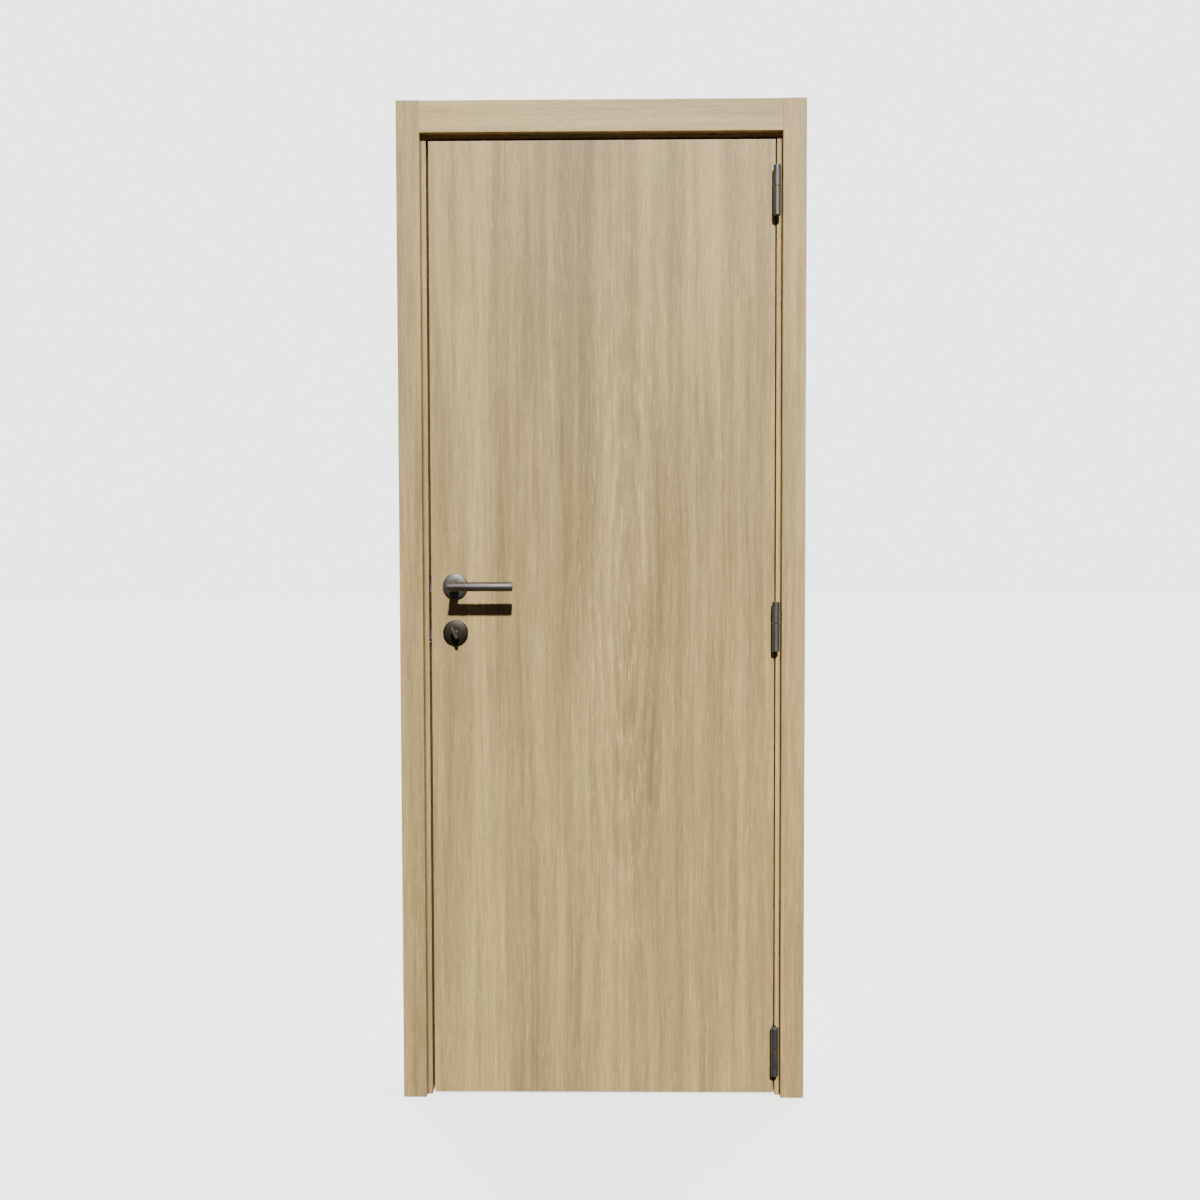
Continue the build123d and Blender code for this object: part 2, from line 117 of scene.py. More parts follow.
# Sizes of the thumb turn and of the release on the back, and their tilt from upright
TURN_TILT = math.radians(26)
TURN_HOLE_RADIUS = 0.0073
COLLAR_RADIUS = 0.0070
COLLAR_TOP = 0.0112
COLLAR_EDGE = 0.0006
COLLAR_SIDES = 64
BLADE_FOOT = 0.0105
BLADE_TOP = 0.0290
BLADE_HALF_THICKNESS = 0.0035
BLADE_HALF_LENGTH = 0.0135
BLADE_ROUND = 0.00345
BLADE_EDGE = 0.0012
RELEASE_HOLE_RADIUS = 0.0093
RELEASE_RADIUS = 0.0090
RELEASE_EDGE = 0.0005
RELEASE_SIDES = 96
SLOT_HALF_WIDTH = 0.001
SLOT_HALF_LENGTH = 0.0045
SLOT_DEPTH = 0.002
SLOT_ROUND = 0.00095
SLOT_CUTTER_TOP = 0.010

# Sizes of the countersunk screws, and their places on a hinge flap and from a plate's ends
SCREW_RADIUS = 0.0039
SCREW_TOP = 0.00045
SCREW_FOOT = -0.0004
SCREW_EDGE = 0.0003
SCREW_SIDES = 48
CROSS_HALF_LENGTH = 0.0022
CROSS_HALF_WIDTH = 0.00045
CROSS_FOOT = -0.0002
FLAP_SCREWS = ((-0.040, 0.010), (-0.014, 0.021), (0.014, 0.010), (0.040, 0.021))
FACEPLATE_SCREW_INSET = 0.009
STRIKE_SCREW_INSET = 0.010

# How far past a surface a cutter reaches, and how near counts as the same height, the same place
# and the middle
PAST = 0.001
NEAR = 1e-6
NEAR_PLACE = 1e-5
NEAR_MIDDLE = 1e-4


# Shader expressions
class Wire:
    """A node's output that takes part in plain expressions, and the way to add any node."""

    def __init__(self, tree, output=None):
        self.tree = tree
        self.output = output

    def node(self, kind, settings=None, sockets=None, output=0):
        """Add a node: its settings first, then the values or links of its sockets."""
        made = self.tree.nodes.new("ShaderNode" + kind)
        for name, value in (settings or {}).items():
            if name == "stops":
                made.color_ramp.elements.remove(made.color_ramp.elements[0])
                made.color_ramp.elements[0].position = value[0][0]
                made.color_ramp.elements[0].color = (*value[0][1], 1)
                for place, colour in value[1:]:
                    made.color_ramp.elements.new(place).color = (*colour, 1)
            else:
                setattr(made, name, value)
        for name, value in (sockets or {}).items():
            if isinstance(value, Wire):
                self.tree.links.new(value.output, made.inputs[name])
            else:
                made.inputs[name].default_value = value
        return Wire(self.tree, made.outputs[output])

    def maths(self, operation, first, second=0.0):
        return self.node("Math", {"operation": operation}, {0: first, 1: second})

    def __add__(self, other):
        return self.maths("ADD", self, other)

    def __radd__(self, other):
        return self.maths("ADD", other, self)

    def __sub__(self, other):
        return self.maths("SUBTRACT", self, other)

    def __rsub__(self, other):
        return self.maths("SUBTRACT", other, self)

    def __mul__(self, other):
        return self.maths("MULTIPLY", self, other)

    def __pow__(self, other):
        return self.maths("POWER", self, other)

    def __gt__(self, other):
        return self.maths("GREATER_THAN", self, other)

    def __lt__(self, other):
        return self.maths("LESS_THAN", self, other)

    def __abs__(self):
        return self.maths("ABSOLUTE", self)


def tone(red, green, blue):
    """A colour given from 0 to 255, as the shader's linear values."""
    return tuple(((value / 255 + 0.055) / 1.055) ** 2.4 for value in (red, green, blue))


def new_finish(name, metallic=0.0):
    """A new material, its shader, and a wire to start its nodes from."""
    material = bpy.data.materials.new(name)
    material.use_nodes = True
    shader = material.node_tree.nodes["Principled BSDF"]
    shader.inputs["Metallic"].default_value = metallic
    return material, shader, Wire(material.node_tree)


def plug(wire, shader, **sockets):
    """Link wires into the shader's sockets; an underscore stands for a space."""
    for name, value in sockets.items():
        wire.tree.links.new(value.output, shader.inputs[name.replace("_", " ")])


def axes_of(wire, vector):
    """The three components of a vector."""
    return [wire.node("SeparateXYZ", {}, {0: vector}, axis) for axis in range(3)]


def mixed(wire, factor, first, second):
    """One colour blended into another."""
    return wire.node("Mix", {"data_type": "RGBA"}, {0: factor, 6: first, 7: second}, 2)


def noise(wire, place, scale, detail, roughness=0.5, shift=(0, 0, 0)):
    """Noise stretched by a scale for each axis, from 0 to 1 around a half."""
    stretched = wire.node("Mapping", {}, {"Vector": place, "Location": shift, "Scale": scale})
    sockets = {"Vector": stretched, "Scale": 1.0, "Detail": detail, "Roughness": roughness}
    return wire.node("TexNoise", {}, sockets)


def ramp(value, low, high, first=0.0, last=1.0):
    """A value between two limits, turned into one between the first and the last result."""
    return value.node("MapRange", {}, {"Value": value, 1: low, 2: high, 3: first, 4: last})


def wandering(wire, place, scale, shift, reach):
    """Places pushed about by up to half the reach, at a scale for each axis."""
    stretched = wire.node("Mapping", {}, {"Vector": place, "Location": shift, "Scale": scale})
    push = wire.node("TexNoise", {}, {"Vector": stretched, "Scale": 1.0, "Detail": 2.0}, 1)
    centred = wire.node("VectorMath", {"operation": "SUBTRACT"}, {0: push, 1: (0.5, 0.5, 0.5)})
    reaches = (reach, reach, reach)
    return wire.node("VectorMath", {"operation": "MULTIPLY_ADD"}, {0: centred, 1: reaches, 2: place})


def bumped(wire, shader, height, distance):
    """Give a finish its relief."""
    normal = wire.node("Bump", {}, {"Height": height, "Distance": distance, "Strength": 1.0})
    plug(wire, shader, Normal=normal)


# Oak laminate, from the darkest streak over the ground to the lightest streak
OAK_DARK = (0.300, 0.213, 0.096)
OAK_LOW = (0.420, 0.300, 0.126)
OAK_GROUND = (0.545, 0.390, 0.160)
OAK_HIGH = (0.690, 0.496, 0.196)
OAK_LIGHT = (0.830, 0.615, 0.262)
SEAM_COLOUR = (*OAK_DARK, 1)
# The colour of the painted shade in the corners beside the front casings
PAINTED_SHADE_COLOUR = (0.075, 0.048, 0.024, 1)
COOL_TINT = (0.985, 1.0, 0.97, 1)
WARM_TINT = (1.02, 0.985, 0.985, 1)
BOARD_DARK = tone(142, 119, 88)
BOARD_LIGHT = tone(186, 163, 127)

# The layers of its grain: whether they run in small steps, their scales across and along it,
# detail, roughness and share in the tone
GRAIN = {
    "slow": (False, 8, 0.35, 2, 0.5, 0.42),
    "bands": (False, 30, 0.75, 2, 0.5, 0.50),
    "streaks": (False, 72, 2.1, 3, 0.55, 0.42),
    "threads": (True, 215, 8.5, 2, 0.6, 0.30),
    "ticks": (True, 400, 26, 2, 0.6, 0),
    "pores": (True, 1150, 36, 1, 0.5, 0),
}
FLECK_SHARE = 0.11
RING_SHARE = 0.040
CREST_SHARE = 0.20
RING_UNREST = 7
PORE_SHARE = 0.27
FLECK_LIMITS = (0.52, 0.66)
PORE_LIMITS = (0.57, 0.67)
WARMTH_LIMITS = (0.35, 0.65)
FLAME_FADE = (0.45, 1.25)
OAK_ROUGHNESS = 0.47
OAK_COAT = 0.10
OAK_COAT_ROUGHNESS = 0.32
OAK_RELIEF = 0.00022
FLAKE_SCALE = 260.0
CORE_FLAKE_SCALE = 190.0

# Where the dark lines run: the seam on the leaf's edges, and the painted shade in the corners beside
# the front casings, where the casings' steps lie in shade
SEAM_OFF_MIDDLE = 0.017
SEAM_HALF_WIDTH = 0.00022
SEAM_SHARE = 0.55
PAINTED_SHADE_NEAR = 0.0008
PAINTED_SHADE_FAR = 0.0042
PAINTED_SHADE_SHARE = 0.72


def oak(name, along, shift, raw_places, lighter=0.0, flame=None, seams=False, corners=False):
    """Oak laminate with its streaks along one axis, and raw board where raw_places says so.

    A flame has its middle in X and Z, its half width, its half height and its rings.
    """
    material, shader, wire = new_finish(name)
    place = wire.node("TexCoord", output=3)

    def scale(across, lengthwise):
        return tuple(lengthwise if axis == along else across for axis in range(3))

    # The streaks wander a little sideways as they run, and the fine marks in smaller steps
    grain_place = wandering(wire, place, scale(7, 1.6), shift, 0.022)
    fine_place = wandering(wire, grain_place, scale(48, 15), shift, 0.007)
    layers = {}
    level = 0.5 + lighter
    for layer, (fine, across, lengthwise, detail, roughness, share) in GRAIN.items():
        start = fine_place if fine else grain_place
        layers[layer] = noise(wire, start, scale(across, lengthwise), detail, roughness, shift)
        if share:
            level = level + (layers[layer] - 0.5) * share
    bands, threads, ticks = layers["bands"], layers["threads"], layers["ticks"]
    flecks = ramp(ticks, *FLECK_LIMITS)
    level = level + (flecks - 0.3) * FLECK_SHARE
    if flame:
        # Long pointed rings of the flame figure, strongest in one part of the leaf
        x, y, z = axes_of(wire, grain_place)
        side = (x - flame[0]) * (1 / flame[2])
        up = (z - flame[1]) * (1 / flame[3])
        reach = (side * side + up * up) ** 0.5
        turns = reach * flame[4] + (threads - 0.5) * RING_UNREST
        rings = wire.node("Math", {"operation": "SINE"}, {0: turns})
        crests = (rings * 0.5 + 0.5) ** 3
        figure = rings * RING_SHARE + crests * flecks * CREST_SHARE
        level = level + ramp(reach, *FLAME_FADE, 1.0, 0.0) * figure
    pore_mask = ramp(layers["pores"], *PORE_LIMITS)
    stops = [(0.22, OAK_DARK), (0.38, OAK_LOW), (0.50, OAK_GROUND), (0.62, OAK_HIGH), (0.80, OAK_LIGHT)]
    colour = wire.node("ValToRGB", {"stops": stops}, {0: level})
    warmth = noise(wire, place, scale(11, 3.2), 2, 0.5, shift)
    tint = mixed(wire, ramp(warmth, *WARMTH_LIMITS), COOL_TINT, WARM_TINT)
    multiply = {"data_type": "RGBA", "blend_type": "MULTIPLY"}
    colour = wire.node("Mix", multiply, {0: 1.0, 6: colour, 7: tint}, 2)
    colour = mixed(wire, pore_mask * PORE_SHARE, colour, (*OAK_DARK, 1))

    # Raw board on faces that the wall or the floor covers
    x, y, z = axes_of(wire, place)
    facing = axes_of(wire, wire.node("TexCoord", output=1))
    raw = raw_places(x, y, z, facing)
    flakes = wire.node("TexVoronoi", {}, {"Vector": place, "Scale": FLAKE_SCALE}, 1)
    flake = wire.node("RGBToBW", {}, {0: flakes})
    board = mixed(wire, flake, (*BOARD_DARK, 1), (*BOARD_LIGHT, 1))
    colour = mixed(wire, raw, colour, board)
    if seams:
        # The thin dark line where the skins meet the edges of the leaf
        line = abs(abs(y - LEAF_MIDDLE) - SEAM_OFF_MIDDLE) < SEAM_HALF_WIDTH
        colour = mixed(wire, line * SEAM_SHARE, colour, SEAM_COLOUR)
    if corners:
        # Painted shade: a dark band in the corner between the front casings and the linings, where the
        # step lies in shade
        across = abs(abs(x - OPENING_MIDDLE) - OPENING_HALF)
        deep = y - lining_low.y
        away = (across * across + deep * deep) ** 0.5
        painted_shade = ramp(away, PAINTED_SHADE_NEAR, PAINTED_SHADE_FAR, PAINTED_SHADE_SHARE, 0.0)
        colour = mixed(wire, painted_shade, colour, PAINTED_SHADE_COLOUR)
    rough = OAK_ROUGHNESS + (threads - 0.5) * 0.16 + (bands - 0.5) * 0.10
    rough = rough + pore_mask * 0.10 + raw * 0.35
    height = (threads - 0.5) * 0.5 + (ticks - 0.5) * 0.4 - pore_mask * 0.45 + raw * (flake - 0.5) * 1.5
    plug(wire, shader, Base_Color=colour, Roughness=rough)
    bumped(wire, shader, height, OAK_RELIEF)
    shader.inputs["Coat Weight"].default_value = OAK_COAT
    shader.inputs["Coat Roughness"].default_value = OAK_COAT_ROUGHNESS
    return material


# How squarely a face looks along an axis, how near it lies to its side, the depth of the casings'
# relief, how near a back lies to half of it, and the product that shows a face looking at the wall
FACING = 0.5
SQUARELY = 0.7
SIDE_REACH = 0.001
BACK_RELIEF = 0.002
BACK_REACH = 0.0015
AT_WALL = -0.01


def casing_backs(y, facing):
    """The faces of the casings that lie on the wall, with their shallow reliefs."""
    depth = abs(abs(y) - lining_high.y - BACK_RELIEF / 2)
    return (facing[1] * y < AT_WALL) * (depth < BACK_REACH)


def frame_upright_raw(x, y, z, facing):
    """Wall sides of the side linings, backs of the casings and the tops of the side casings."""
    hinge_side = (facing[0] > FACING) * (abs(x - lining_high.x) < SIDE_REACH)
    latch_side = (facing[0] < -FACING) * (abs(x - lining_low.x) < SIDE_REACH)
    tops = (facing[2] > FACING) * (z > casing_high.z - SIDE_REACH)
    return wire_max(hinge_side, latch_side, casing_backs(y, facing), tops)


def frame_across_raw(x, y, z, facing):
    """The head lining's top, the head casings' backs and the ends of all that runs across."""
    top = (facing[2] > FACING) * (abs(z - lining_high.z) < SIDE_REACH)
    return wire_max(top, casing_backs(y, facing), abs(facing[0]) > SQUARELY)


def leaf_raw(x, y, z, facing):
    """The top and the foot of the leaf's skins and stiles."""
    return abs(facing[2]) > SQUARELY


def wire_max(first, *others):
    """The largest of several masks."""
    for other in others:
        first = first.maths("MAXIMUM", first, other)
    return first


def timber(name, along, dark, light, shift):
    """Plain sawn softwood with growth lines along one axis."""
    material, shader, wire = new_finish(name)
    place = wire.node("TexCoord", output=3)
    scale = tuple(1.2 if axis == along else 90 for axis in range(3))
    saw = tuple(260 if axis == along else 20 for axis in range(3))
    lines = noise(wire, place, scale, 3, 0.6, shift)
    marks = noise(wire, place, saw, 1, 0.5, shift)
    colour = wire.node("ValToRGB", {"stops": [(0.30, dark), (0.52, light), (0.70, light)]}, {0: lines})
    plug(wire, shader, Base_Color=colour, Roughness=0.68 + (lines - 0.5) * 0.3)
    bumped(wire, shader, lines * 0.5 + marks * 0.5, 0.0004)
    return material


def core_board(name):
    """Flaky particle board."""
    material, shader, wire = new_finish(name)
    place = wire.node("TexCoord", output=3)
    cells = wire.node("TexVoronoi", {}, {"Vector": place, "Scale": CORE_FLAKE_SCALE}, 1)
    flakes = wire.node("RGBToBW", {}, {0: cells})
    dust = noise(wire, place, (700, 700, 700), 2)
    colour = mixed(wire, flakes * 0.8 + dust * 0.2, (*BOARD_DARK, 1), (*BOARD_LIGHT, 1))
    plug(wire, shader, Base_Color=colour, Roughness=0.75 + (flakes - 0.5) * 0.2)
    bumped(wire, shader, flakes, 0.0005)
    return material


TURNED_SCALE = 2400
LINE_CONTRAST = 0.75
SMUDGE_CONTRAST = 0.30
SPECK_ROUGHNESS = 0.05
SMUDGE_SCALE = (55, 55, 55)
SPECK_SCALE = (900, 900, 900)
RUBBER_CONTRAST = 0.25


def turned_lines(wire, place):
    """Fine rings that a lathe left, round the nearer of the two spindles."""
    x, y, z = axes_of(wire, place)
    side = x - SPINDLE_X
    round_handle = (side * side + (z - HANDLE_Z) * (z - HANDLE_Z)) ** 0.5
    round_turn = (side * side + (z - TURN_Z) * (z - TURN_Z)) ** 0.5
    reach = side.maths("MINIMUM", round_handle, round_turn)
    sockets = {"W": reach * TURNED_SCALE, "Scale": 1.0, "Detail": 1.0}
    return wire.node("TexNoise", {"noise_dimensions": "1D"}, sockets)


def metal(name, colour, roughness, brushed=None, marks=0.22, smudges=0.16, depth=0.000020):
    """Metal with fine lines by a scale for each axis or else turned, and with handling marks."""
    material, shader, wire = new_finish(name, 1.0)
    place = wire.node("TexCoord", output=3)
    lines = noise(wire, place, brushed, 2, 0.6) if brushed else turned_lines(wire, place)
    smudge = noise(wire, place, SMUDGE_SCALE, 3, 0.55, (3.1, 1.7, 5.9))
    speck = noise(wire, place, SPECK_SCALE, 2, 0.5)
    shade = 1 + (lines - 0.5) * LINE_CONTRAST + (smudge - 0.5) * SMUDGE_CONTRAST
    base = wire.node("VectorMath", {"operation": "SCALE"}, {0: colour, "Scale": shade})
    rough = roughness + (lines - 0.5) * marks + (smudge - 0.5) * smudges
    rough = rough + (speck - 0.5) * SPECK_ROUGHNESS
    plug(wire, shader, Base_Color=base, Roughness=rough)
    bumped(wire, shader, lines, depth)
    return material


def rubber(name, colour, roughness, grain, depth):
    """Rubber with a fine grain and slight unevenness."""
    material, shader, wire = new_finish(name)
    place = wire.node("TexCoord", output=3)
    fine = noise(wire, place, (grain, grain, grain), 2, 0.6)
    slow = noise(wire, place, (14, 14, 14), 2, 0.5, (2.2, 8.1, 4.4))
    shade = 1 + (fine - 0.5) * RUBBER_CONTRAST + (slow - 0.5) * RUBBER_CONTRAST
    base = wire.node("VectorMath", {"operation": "SCALE"}, {0: colour, "Scale": shade})
    plug(wire, shader, Base_Color=base, Roughness=roughness + (fine - 0.5) * 0.2 + (slow - 0.5) * 0.15)
    bumped(wire, shader, fine, depth)
    return material


FLAME = (-0.335, 1.05, 0.10, 0.75, 34.0)
finishes = {
    "oak_leaf": oak("oak_leaf", 2, (4.3, 9.7, 2.9), leaf_raw, 0.0, FLAME, True),
    # The frame's oak carries painted shade in the corners beside the front casings
    "oak_frame": oak("oak_frame", 2, (8.8, 3.1, 6.2), frame_upright_raw, corners=True),
    "oak_frame_across": oak("oak_frame_across", 0, (1.4, 7.7, 5.3), frame_across_raw, 0.05),
    "softwood": timber("softwood", 0, tone(176, 138, 88), tone(214, 184, 134), (5.5, 2.2, 7.1)),
    "core_board": core_board("core_board"),
    "seal": rubber("seal", tone(58, 48, 40), 0.62, 1500, 0.00004),
    "dark_steel": metal("dark_steel", (0.200, 0.202, 0.192), 0.56, (900, 900, 60)),
    "satin_steel": metal("satin_steel", (0.45, 0.44, 0.425), 0.42, (900, 900, 40)),
    "lever_steel": metal("lever_steel", (0.194, 0.171, 0.157), 0.56, (30, 1700, 1700)),
    "bolt_metal": metal("bolt_metal", tone(176, 176, 174), 0.30, (900, 900, 60), 0.10, 0.10),
    "zinc_case": metal("zinc_case", tone(158, 160, 164), 0.42, (220, 220, 220), depth=0.00003),
    "washer": metal("washer", tone(206, 182, 120), 0.26, (700, 700, 120)),
}
screw_finish = metal("screw_steel", tone(150, 148, 144), 0.30, (500, 500, 500))
rose_finish = metal("rose_steel", (0.188, 0.180, 0.163), 0.52)
# A darker, warmer copy of the rose steel for the roses round the thumb turn and the release: painted
# reflection, standing in for the dark surroundings that these roses mirror
rose_painted_dark_reflection = metal("rose_steel_painted_dark_reflection", (0.071, 0.059, 0.045), 0.50)
turn_finish = metal("turn_steel", (0.121, 0.105, 0.090), 0.55, (900, 900, 120))

for row in frame["record"]["subparts"]:
    node = nodes[row["node"]]
    node.data.materials.clear()
    node.data.materials.append(finishes[row["material_slot"]])


# Modelling steps
def take(piece):
    """Select one piece alone and make it the active one."""
    bpy.ops.object.select_all(action="DESELECT")
    piece.select_set(True)
    bpy.context.view_layer.objects.active = piece


def start_edit(piece, kind="FACE"):
    """Take a piece with none of its mesh selected."""
    take(piece)
    bpy.ops.object.mode_set(mode="EDIT")
    bpy.ops.mesh.select_mode(type=kind)
    bpy.ops.mesh.select_all(action="DESELECT")
    bpy.ops.object.mode_set(mode="OBJECT")


def pick_faces(piece, wanted):
    """Select the faces that a test of centre and normal accepts, and go on in edit mode."""
    start_edit(piece)
    for face in piece.data.polygons:
        face.select = wanted(face.center, face.normal)
    bpy.ops.object.mode_set(mode="EDIT")


def pick_edges(piece, wanted):
    """Select the edges whose two ends a test accepts, and go on in edit mode."""
    start_edit(piece, "EDGE")
    points = piece.data.vertices
    for edge in piece.data.edges:
        edge.select = wanted(points[edge.vertices[0]].co, points[edge.vertices[1]].co)
    bpy.ops.object.mode_set(mode="EDIT")


def close_edit():
    bpy.ops.object.mode_set(mode="OBJECT")


def place_mesh(piece):
    """Put the piece's place, turn and size into its mesh."""
    take(piece)
    bpy.ops.object.transform_apply(location=True, rotation=True, scale=True)


def add_cylinder(name, radius, low, high, sides):
    """An upright cylinder round the origin between two heights."""
    bpy.ops.object.select_all(action="DESELECT")
    bpy.ops.mesh.primitive_cylinder_add(
        vertices=sides, radius=radius, depth=high - low, location=(0, 0, (low + high) / 2)
    )
    piece = bpy.context.object
    piece.name = name
    place_mesh(piece)
    return piece


def add_block(name, low, high):
    """A block between two corners."""
    bpy.ops.object.select_all(action="DESELECT")
    low = Vector(low)
    high = Vector(high)
    bpy.ops.mesh.primitive_cube_add(size=1, location=(low + high) / 2, scale=high - low)
    piece = bpy.context.object
    piece.name = name
    place_mesh(piece)
    return piece


def cut_away(piece, cutter):
    """Cut one piece out of another and remove the cutter."""
    take(piece)
    cut = piece.modifiers.new("cut", "BOOLEAN")
    cut.operation = "DIFFERENCE"
    cut.solver = "EXACT"
    cut.object = cutter
    bpy.ops.object.modifier_apply(modifier=cut.name)
    bpy.data.objects.remove(cutter)


def weld(piece, distance=NEAR_PLACE):
    """Merge what lies together and turn every face outwards."""
    take(piece)
    bpy.ops.object.mode_set(mode="EDIT")
    bpy.ops.mesh.select_all(action="SELECT")
    bpy.ops.mesh.remove_doubles(threshold=distance)
    bpy.ops.mesh.normals_make_consistent(inside=False)
    bpy.ops.object.mode_set(mode="OBJECT")


def move_mesh(piece, matrix):
    """Set a piece in its place, with its object left at the origin."""
    piece.matrix_world = matrix
    place_mesh(piece)


def dress(piece, body, material, smooth, stands_for=()):
    """Finish a piece: smooth shading, material, body and the nodes that it stands for."""
    take(piece)
    bpy.ops.object.shade_smooth_by_angle(angle=math.radians(smooth))
    piece.data.materials.clear()
    piece.data.materials.append(material)
    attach(piece, body)
    if stands_for:
        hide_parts(*stands_for)
    return piece


def copy_of(piece, name, matrix):
    """A copy with its own mesh, set in its place."""
    twin = piece.copy()
    twin.data = piece.data.copy()
    twin.name = name
    bpy.context.collection.objects.link(twin)
    move_mesh(twin, matrix)
    return twin


def facing_out(side, height):
    """The matrix that stands a piece modelled upright on the leaf's front or back."""
    if side == "front":
        turn = Matrix(((1, 0, 0), (0, 0, -1), (0, 1, 0))).to_4x4()
        return Matrix.Translation((SPINDLE_X, LEAF_FRONT, height)) @ turn
    turn = Matrix(((1, 0, 0), (0, 0, 1), (0, -1, 0))).to_4x4()
    return Matrix.Translation((SPINDLE_X, LEAF_BACK, height)) @ turn


# Roses: a foot hollowed inside its rim, a domed face, a rounded rim and the hole in the middle
def middle_of_top(centre, normal):
    """Whether a face is the one in the middle of the top."""
    return normal.z > 0.5 and centre.xy.length < NEAR_MIDDLE


def make_rose(name, hole_radius):
    rose = add_cylinder(name, ROSE_RADIUS, 0.0, ROSE_THICKNESS, ROSE_SIDES)
    pick_faces(rose, lambda centre, normal: normal.z < -0.5)
    bpy.ops.mesh.inset(thickness=FOOT_LIP)
    bpy.ops.mesh.extrude_region_move(TRANSFORM_OT_translate={"value": (0, 0, FOOT_HOLLOW)})
    close_edit()
    # The face falls away from the middle in narrow rings, each a little steeper than the last
    step = (ROSE_RADIUS - hole_radius - ROSE_LIP) / ROSE_RINGS
    fall = ROSE_DOME / ROSE_RINGS**2
    for _ in range(ROSE_RINGS):
        pick_faces(rose, middle_of_top)
        bpy.ops.mesh.inset(thickness=step)
        close_edit()
    for number in range(ROSE_RINGS + 1):
        reach = ROSE_RADIUS - number * step
        drop = fall * (ROSE_RINGS - number) ** 2
        start_edit(rose, "VERT")
        for point in rose.data.vertices:
            on_ring = abs(point.co.xy.length - reach) < step / 2
            point.select = on_ring and point.co.z > ROSE_THICKNESS - NEAR
        bpy.ops.object.mode_set(mode="EDIT")
        bpy.ops.transform.translate(value=(0, 0, -drop))
        close_edit()
    pick_faces(rose, middle_of_top)
    bpy.ops.mesh.inset(thickness=ROSE_LIP)
    bpy.ops.mesh.extrude_region_move(TRANSFORM_OT_translate={"value": (0, 0, -ROSE_HOLE_DEPTH)})
    close_edit()
    top = ROSE_THICKNESS - NEAR
    hole = hole_radius + NEAR_MIDDLE
    pick_edges(rose, lambda a, b: min(a.z, b.z) > top and max(a.xy.length, b.xy.length) < hole)
    bpy.ops.mesh.bevel(offset=ROSE_HOLE_EDGE, segments=2, affect="EDGES")
    close_edit()
    rim = ROSE_RADIUS - NEAR_PLACE
    upper = ROSE_THICKNESS / 2
    pick_edges(rose, lambda a, b: min(a.z, b.z) > upper and min(a.xy.length, b.xy.length) > rim)
    bpy.ops.mesh.bevel(offset=ROSE_RIM, segments=5, profile=0.5, affect="EDGES")
    close_edit()
    weld(rose)
    return rose


for name, side, height, hole, finish in (
    ("front_lever_rose", "front", HANDLE_Z, LEVER_RADIUS + NECK_CLEARANCE, rose_finish),
    ("back_lever_rose", "back", HANDLE_Z, LEVER_RADIUS + NECK_CLEARANCE, rose_finish),
    ("front_turn_rose", "front", TURN_Z, TURN_HOLE_RADIUS, rose_painted_dark_reflection),
    ("back_release_rose", "back", TURN_Z, RELEASE_HOLE_RADIUS, rose_painted_dark_reflection),
):
    rose = make_rose(name + "_cover", hole)
    move_mesh(rose, facing_out(side, height))
    dress(rose, "leaf", finish, 35, (name,))


# Levers: neck and bar of one round section, mitred at the corner
def make_lever(name, below):
    """A lever whose underside is at negative Y where below is -1, and at positive Y where it is 1."""
    out = LEVER_AXIS_OUT
    neck = add_cylinder(name, LEVER_RADIUS, NECK_OFF_LEAF, out + 2 * LEVER_RADIUS, LEVER_SIDES)
    bar = add_cylinder(name + "_bar", LEVER_RADIUS, -2 * LEVER_RADIUS, LEVER_REACH, LEVER_SIDES)
    move_mesh(bar, Matrix.Translation((0, 0, out)) @ Matrix.Rotation(math.radians(90), 4, "Y"))
    for piece, clear_outer in ((neck, True), (bar, False)):
        start_edit(piece)
        bpy.ops.object.mode_set(mode="EDIT")
        bpy.ops.mesh.select_all(action="SELECT")
        bpy.ops.mesh.bisect(
            plane_co=(0, 0, out),
            plane_no=(1, 0, 1),
            clear_outer=clear_outer,
            clear_inner=not clear_outer,
            threshold=1e-7,
        )
        close_edit()
    take(neck)
    bar.select_set(True)
    bpy.ops.object.join()
    weld(neck, 2 * NEAR_PLACE)
    near = 2 * NEAR_PLACE
    pick_edges(neck, lambda a, b: max(abs(a.z - out + a.x), abs(b.z - out + b.x)) < near)
    bpy.ops.mesh.bevel(offset=MITRE_EDGE, segments=2, affect="EDGES")
    close_edit()
    pick_edges(neck, lambda a, b: min(a.x, b.x) > LEVER_REACH - NEAR_PLACE)
    bpy.ops.mesh.bevel(offset=LEVER_END_EDGE, segments=4, affect="EDGES")
    close_edit()
    # The hole of the grub screw, under the neck
    cutter = add_cylinder("cutter", GRUB_HOLE_RADIUS, 0, GRUB_HOLE_DEPTH + PAST, GRUB_SIDES)
    under = Matrix.Rotation(math.radians(-90 * below), 4, "X")
    foot = (0, below * (LEVER_RADIUS - GRUB_HOLE_DEPTH), GRUB_OUT)
    move_mesh(cutter, Matrix.Translation(foot) @ under)
    cut_away(neck, cutter)
    return neck


def make_grub_screw(name):
    """A short headless screw with a hexagonal socket, its outer end at height nought."""
    screw = add_cylinder(name, GRUB_RADIUS, -GRUB_LENGTH, 0, GRUB_SIDES)
    cutter = add_cylinder("cutter", GRUB_KEY_RADIUS, -GRUB_KEY_DEPTH, PAST, GRUB_KEY_SIDES)
    cut_away(screw, cutter)
    rim = (GRUB_RADIUS + GRUB_KEY_RADIUS) / 2
    pick_edges(screw, lambda a, b: min(a.z, b.z) > -NEAR and min(a.xy.length, b.xy.length) > rim)
    bpy.ops.mesh.bevel(offset=GRUB_EDGE, segments=2, affect="EDGES")
    close_edit()
    weld(screw)
    return screw


